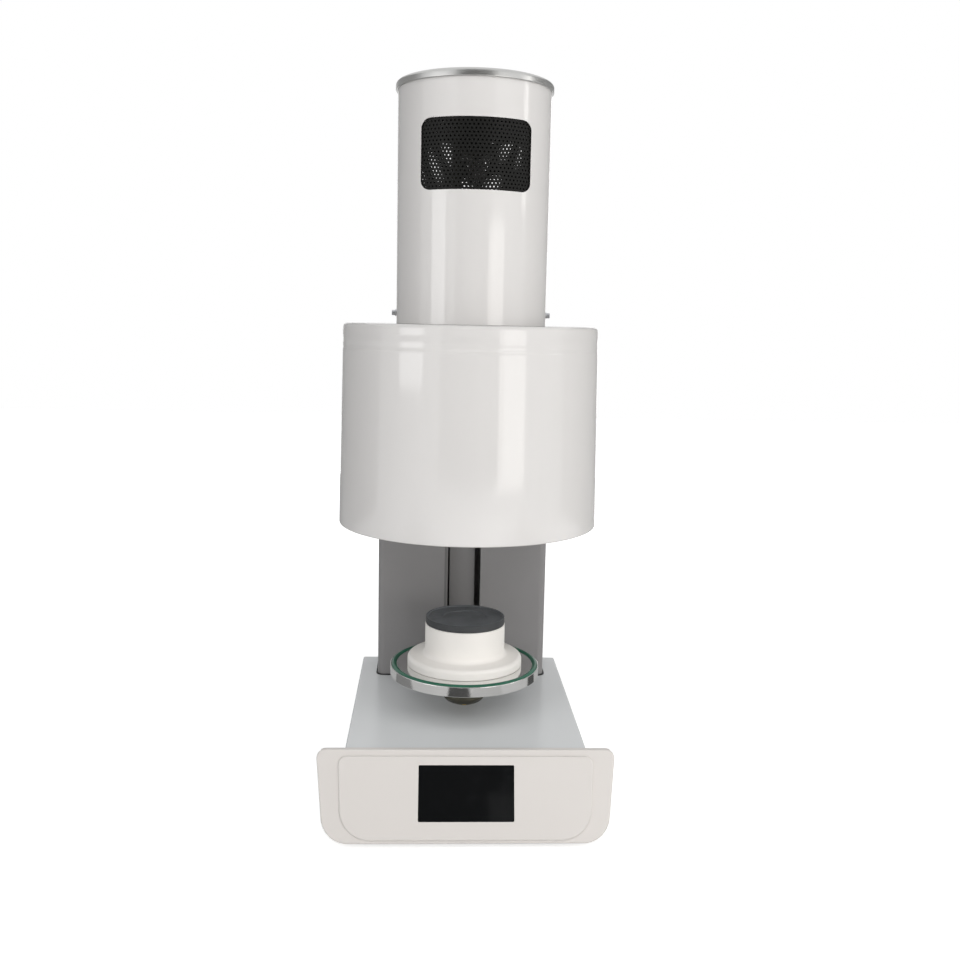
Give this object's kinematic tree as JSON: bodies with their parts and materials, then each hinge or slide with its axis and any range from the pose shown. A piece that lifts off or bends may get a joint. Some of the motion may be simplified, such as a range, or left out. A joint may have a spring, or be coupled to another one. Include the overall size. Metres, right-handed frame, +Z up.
{
  "type": "dental lab furnace",
  "caption": "Dental vacuum press furnace: tilted touch-screen base, grey column with motor lift table and white pedestal, round white muffle and a vented tower on top.",
  "frame": {"origin": "centre of the footprint on the bench, halfway between the front of the control panel and the tip of the hose barb", "axes": "+Z up, -Y to the front (the touch screen side), +X to the user's right when facing the screen"},
  "size_m": [0.2992, 0.3496, 0.7517],
  "materials": {
    "white_gloss_paint": "smooth gloss white powder coat",
    "grey_paint": "satin mid grey powder coat",
    "base_paint": "smooth light grey powder coat",
    "white_plastic": "smooth warm white moulding",
    "screen_glass": "glossy black display",
    "black_plastic": "matt black moulding",
    "black_rubber": "matt black rubber",
    "green_rubber": "dark green fluoro rubber",
    "polished_steel": "mirror polished stainless steel",
    "brushed_steel": "turned and brushed steel",
    "dark_steel": "dark blued steel",
    "zinc_steel": "bright zinc plated steel",
    "brass": "turned brass",
    "black_sheet": "black painted sheet",
    "aluminium": "machined aluminium",
    "ceramic": "matt white fired ceramic",
    "tray_ceramic": "dark grey silicon carbide ceramic",
    "ceramic_fibre": "white vacuum-formed ceramic fibre",
    "quartz": "clear fused quartz",
    "heater_wire": "oxidised heating wire",
    "circuit_board": "green circuit board",
    "components": "black component housings"
  },
  "bodies": {
    "furnace": {"base_pan": "zinc_steel", "base_cover": "base_paint", "cover_screws": "zinc_steel", "base_feet": "black_rubber", "front_bezel": "white_plastic", "control_plate": "white_plastic", "touch_screen": "screen_glass", "control_board": "circuit_board", "board_components": "components", "power_supply": "zinc_steel", "fan_frame": "black_plastic", "mains_inlet": "black_plastic", "switch_frame": "black_plastic", "pump_outlet": "black_plastic", "vacuum_port": "brass", "column_shell": "grey_paint", "column_back_cover": "grey_paint", "column_gasket": "black_rubber", "lift_motor": "dark_steel", "lift_motor_plate": "zinc_steel", "screw_bearings": "brushed_steel", "guide_rail": "grey_paint", "muffle_carrier": "brushed_steel", "carrier_bolts": "zinc_steel", "vacuum_pot": "brushed_steel", "insulation_floor": "ceramic_fibre", "insulation_side": "ceramic_fibre", "insulation_roof": "ceramic_fibre", "quartz_tube": "quartz", "heating_coil": "heater_wire", "lead_bushings": "ceramic", "thermocouple": "ceramic", "muffle_floor": "zinc_steel", "muffle_housing": "white_gloss_paint", "tower_mount_ring": "zinc_steel", "tower_tube": "white_gloss_paint", "tower_screws": "zinc_steel", "tower_cap": "brushed_steel", "window_grilles": "black_sheet", "press_pillars": "zinc_steel", "press_plate": "aluminium", "press_bracket": "dark_steel", "press_motor": "black_sheet"},
    "lift": {"carriage": "aluminium", "lead_nut": "brass", "lift_arm": "dark_steel", "table_hub": "dark_steel", "hub_screws": "brass", "table_plate": "polished_steel", "table_seal": "green_rubber", "pedestal": "ceramic"},
    "lift_screw": {"lead_screw": "brushed_steel", "lift_coupling": "aluminium"},
    "tray": {"firing_tray": "tray_ceramic"},
    "press": {"crosshead": "aluminium", "press_plunger": "ceramic"},
    "press_drive": {"press_screw": "brushed_steel"},
    "rocker": {"power_rocker": "black_plastic"},
    "fan": {"fan_rotor": "black_plastic"}
  },
  "joints": [
    {"name": "lift_slide", "type": "slide", "parent": "furnace", "child": "lift", "axis": [0, 0, 1], "range_m": [0, 0.1581]},
    {"name": "lift_screw_spin", "type": "hinge", "parent": "furnace", "child": "lift_screw", "pos_m": [0, 0.12714, 0.2], "axis": [0, 0, 1], "range_deg": [-10, 14239]},
    {"name": "tray_lift", "type": "slide", "parent": "lift", "child": "tray", "axis": [0, 0, 1], "range_m": [0, 0.025]},
    {"name": "press_slide", "type": "slide", "parent": "furnace", "child": "press", "axis": [0, 0, -1], "range_m": [0, 0.04]},
    {"name": "press_screw_spin", "type": "hinge", "parent": "furnace", "child": "press_drive", "pos_m": [0.004, -0.01386, 0.6], "axis": [0, 0, 1], "range_deg": [-10, 7210]},
    {"name": "power_rocker", "type": "hinge", "parent": "furnace", "child": "rocker", "pos_m": [-0.034, 0.15504, 0.034], "axis": [1, 0, 0], "range_deg": [-16, 0]},
    {"name": "fan_spin", "type": "hinge", "parent": "furnace", "child": "fan", "pos_m": [-0.068, 0.03014, 0.018], "axis": [0, 0, 1], "continuous": true}
  ],
  "couplings": [
    {"joint": "lift_screw_spin", "follows": "lift_slide", "rad_per_m": 1570.8},
    {"joint": "press_screw_spin", "follows": "press_slide", "rad_per_m": 3141.6}
  ]
}
